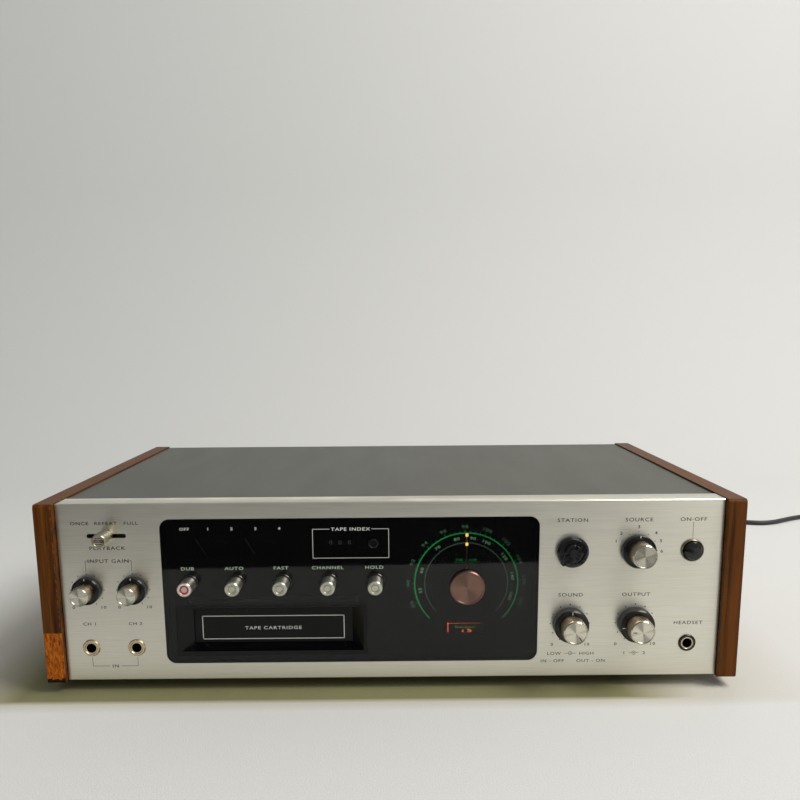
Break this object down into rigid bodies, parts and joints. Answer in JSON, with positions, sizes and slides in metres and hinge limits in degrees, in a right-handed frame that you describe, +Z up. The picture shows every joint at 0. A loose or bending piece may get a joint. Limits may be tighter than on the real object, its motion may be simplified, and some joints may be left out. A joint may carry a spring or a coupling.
{
  "type": "eight track cartridge player and recorder with tuner",
  "caption": "Wooden-sided eight track tape recorder and AM/FM receiver with a smoked window, round dial, push buttons, double knobs and a mains lead.",
  "frame": {"origin": "under the middle of the object without its lead, on the surface that the feet stand on", "axes": "+X to the right seen from the front, +Y from the front to the back, +Z up"},
  "size_m": [0.8604, 0.5272, 0.129],
  "materials": {
    "walnut": "satin lacquer, worn at the front corners",
    "cover_steel": "fine textured dark grey paint",
    "zinc_steel": "zinc plated",
    "panel_aluminium": "brushed along X, clear anodised",
    "foot_rubber": "matte",
    "screw_steel": "black oxide",
    "smoked_plastic": "clear smoked acrylic, polished",
    "black_plastic": "satin black",
    "black_gloss": "gloss black",
    "knob_aluminium": "turned, diamond-cut face",
    "rose_aluminium": "turned disc",
    "brass": "bright",
    "chrome": "polished",
    "vane_aluminium": "plain",
    "dial_thread": "waxed thread",
    "belt_rubber": "ground flat belt",
    "motor_steel": "plated can",
    "core_iron": "varnished laminations",
    "board": "phenolic paper board",
    "lead_plastic": "soft vinyl",
    "needle_white": "painted"
  },
  "bodies": {
    "case": {"side_panel_left": "walnut", "side_panel_right": "walnut", "top_cover": "cover_steel", "chassis": "zinc_steel", "rear_panel": "zinc_steel", "front_panel": "panel_aluminium", "feet": "foot_rubber", "case_screws": "screw_steel", "smoked_window": "smoked_plastic", "cartridge_bezel": "black_plastic", "dial_tray": "black_plastic", "sub_panel": "zinc_steel", "dial_cap": "rose_aluminium", "tuning_capacitor": "vane_aluminium", "dial_cord": "dial_thread", "button_bezels": "black_plastic", "panel_controls": "motor_steel", "jacks": "chrome", "panel_meters": "black_plastic", "tape_counter": "black_plastic", "transport_deck": "zinc_steel", "drive_motor": "motor_steel", "drive_belt": "belt_rubber", "power_transformer": "core_iron", "circuit_boards": "board", "rear_connectors": "black_plastic", "strain_relief": "lead_plastic", "cord": "lead_plastic", "cord_coil": "lead_plastic", "plug": "lead_plastic"},
    "door": {"cartridge_door": "black_plastic"},
    "lever": {"function_lever": "knob_aluminium"},
    "rec_left": {"rec_knob_left": "knob_aluminium"},
    "rec_right": {"rec_knob_right": "knob_aluminium"},
    "rec_key": {"rec_button": "knob_aluminium"},
    "level_key": {"level_button": "knob_aluminium"},
    "forward_key": {"forward_button": "knob_aluminium"},
    "program_key": {"program_button": "knob_aluminium"},
    "pause_key": {"pause_button": "knob_aluminium"},
    "reset_key": {"counter_reset": "black_gloss"},
    "power_key": {"power_button": "black_gloss"},
    "tuning": {"tuning_knob": "black_plastic", "tuning_shaft": "zinc_steel"},
    "pointer": {"dial_pointer": "needle_white"},
    "tuner_rotor": {"capacitor_rotor": "vane_aluminium"},
    "selector": {"selector_knob": "knob_aluminium"},
    "tone_outer": {"tone_ring": "black_plastic"},
    "tone_inner": {"tone_rotor": "board"},
    "tone_pull": {"tone_knob": "knob_aluminium"},
    "volume_outer": {"volume_ring": "black_plastic"},
    "volume_inner": {"volume_knob": "knob_aluminium"},
    "units": {"counter_units": "black_plastic"},
    "tens": {"counter_tens": "black_plastic"},
    "hundreds": {"counter_hundreds": "black_plastic"},
    "meter_left": {"left_needle": "needle_white"},
    "meter_right": {"right_needle": "needle_white"},
    "meter_tuning": {"tuning_needle": "needle_white"},
    "head": {"tape_head": "motor_steel"},
    "flywheel": {"capstan": "zinc_steel"},
    "motor": {"motor_pulley": "brass"}
  },
  "joints": [
    {"name": "door_swing", "type": "hinge", "parent": "case", "child": "door", "pos_m": [-0.0797, -0.1219, 0.0556], "axis": [1, 0, 0], "range_deg": [0, 90], "stiffness_Nm_per_rad": 0.02, "springref_deg": -17.19},
    {"name": "lever_slide", "type": "slide", "parent": "case", "child": "lever", "axis": [1, 0, 0], "range_m": [-0.0085, 0.0085]},
    {"name": "rec_left_turn", "type": "hinge", "parent": "case", "child": "rec_left", "pos_m": [-0.2005, -0.1319, 0.0705], "axis": [0, 1, 0], "range_deg": [-150, 150]},
    {"name": "rec_right_turn", "type": "hinge", "parent": "case", "child": "rec_right", "pos_m": [-0.1703, -0.1319, 0.0705], "axis": [0, 1, 0], "range_deg": [-150, 150]},
    {"name": "rec_press", "type": "slide", "parent": "case", "child": "rec_key", "axis": [0, 1, 0], "range_m": [0, 0.004], "stiffness_N_per_m": 200, "springref_m": -0.002},
    {"name": "level_press", "type": "slide", "parent": "case", "child": "level_key", "axis": [0, 1, 0], "range_m": [0, 0.004], "stiffness_N_per_m": 200, "springref_m": -0.002},
    {"name": "forward_press", "type": "slide", "parent": "case", "child": "forward_key", "axis": [0, 1, 0], "range_m": [0, 0.004], "stiffness_N_per_m": 200, "springref_m": -0.002},
    {"name": "program_press", "type": "slide", "parent": "case", "child": "program_key", "axis": [0, 1, 0], "range_m": [0, 0.004], "stiffness_N_per_m": 200, "springref_m": -0.002},
    {"name": "pause_press", "type": "slide", "parent": "case", "child": "pause_key", "axis": [0, 1, 0], "range_m": [0, 0.004], "stiffness_N_per_m": 200, "springref_m": -0.002},
    {"name": "reset_press", "type": "slide", "parent": "case", "child": "reset_key", "axis": [0, 1, 0], "range_m": [0, 0.0025], "stiffness_N_per_m": 150, "springref_m": -0.002},
    {"name": "power_press", "type": "slide", "parent": "case", "child": "power_key", "axis": [0, 1, 0], "range_m": [0, 0.003], "stiffness_N_per_m": 300, "springref_m": -0.002},
    {"name": "tuning_turn", "type": "hinge", "parent": "case", "child": "tuning", "pos_m": [0.1187, -0.1319, 0.0943], "axis": [0, 1, 0], "range_deg": [-530, 530]},
    {"name": "pointer_turn", "type": "hinge", "parent": "case", "child": "pointer", "pos_m": [0.0502, -0.1319, 0.0703], "axis": [0, 1, 0], "range_deg": [-118, 118]},
    {"name": "rotor_turn", "type": "hinge", "parent": "case", "child": "tuner_rotor", "pos_m": [0.0952, -0.1319, 0.0423], "axis": [0, 1, 0], "range_deg": [-90, 90]},
    {"name": "selector_turn", "type": "hinge", "parent": "case", "child": "selector", "pos_m": [0.162, -0.1319, 0.0943], "axis": [0, 1, 0], "range_deg": [-60, 90]},
    {"name": "tone_ring_turn", "type": "hinge", "parent": "case", "child": "tone_outer", "pos_m": [0.1187, -0.1319, 0.0447], "axis": [0, 1, 0], "range_deg": [-150, 150]},
    {"name": "tone_turn", "type": "hinge", "parent": "case", "child": "tone_inner", "pos_m": [0.1187, -0.1319, 0.0447], "axis": [0, 1, 0], "range_deg": [-292, 8]},
    {"name": "tone_pull_out", "type": "slide", "parent": "tone_inner", "child": "tone_pull", "axis": [0, -1, 0], "range_m": [0, 0.004]},
    {"name": "volume_ring_turn", "type": "hinge", "parent": "case", "child": "volume_outer", "pos_m": [0.162, -0.1319, 0.0447], "axis": [0, 1, 0], "range_deg": [-55, 245]},
    {"name": "volume_turn", "type": "hinge", "parent": "case", "child": "volume_inner", "pos_m": [0.162, -0.1319, 0.0447], "axis": [0, 1, 0], "range_deg": [-60, 240]},
    {"name": "units_turn", "type": "hinge", "parent": "case", "child": "units", "pos_m": [-0.0278, -0.1126, 0.1008], "axis": [1, 0, 0], "continuous": true},
    {"name": "tens_turn", "type": "hinge", "parent": "case", "child": "tens", "pos_m": [-0.034, -0.1126, 0.1008], "axis": [1, 0, 0], "continuous": true},
    {"name": "hundreds_turn", "type": "hinge", "parent": "case", "child": "hundreds", "pos_m": [-0.0402, -0.1126, 0.1008], "axis": [1, 0, 0], "continuous": true},
    {"name": "left_needle_swing", "type": "hinge", "parent": "case", "child": "meter_left", "pos_m": [-0.1202, -0.1194, 0.083], "axis": [0, 1, 0], "range_deg": [0, 60], "stiffness_Nm_per_rad": 0.00002, "springref_deg": -28.65},
    {"name": "right_needle_swing", "type": "hinge", "parent": "case", "child": "meter_right", "pos_m": [-0.0872, -0.1194, 0.083], "axis": [0, 1, 0], "range_deg": [0, 60], "stiffness_Nm_per_rad": 0.00002, "springref_deg": -28.65},
    {"name": "tuning_needle_swing", "type": "hinge", "parent": "case", "child": "meter_tuning", "pos_m": [0.0502, -0.1194, 0.0356], "axis": [0, 1, 0], "range_deg": [0, 60], "stiffness_Nm_per_rad": 0.00002, "springref_deg": -28.65},
    {"name": "head_slide", "type": "slide", "parent": "case", "child": "head", "axis": [0, 0, 1], "range_m": [0, 0.0024]},
    {"name": "capstan_spin", "type": "hinge", "parent": "case", "child": "flywheel", "pos_m": [-0.0447, -0.0234, 0.017], "axis": [0, 0, 1], "continuous": true},
    {"name": "motor_spin", "type": "hinge", "parent": "case", "child": "motor", "pos_m": [-0.1537, 0.0016, 0.017], "axis": [0, 0, 1], "continuous": true}
  ],
  "couplings": [
    {"joint": "pointer_turn", "follows": "tuning_turn", "ratio": 0.22222},
    {"joint": "rotor_turn", "follows": "tuning_turn", "ratio": 0.16949},
    {"joint": "tens_turn", "follows": "units_turn", "ratio": 0.1},
    {"joint": "hundreds_turn", "follows": "units_turn", "ratio": 0.01},
    {"joint": "motor_spin", "follows": "capstan_spin", "ratio": 5.8333}
  ]
}
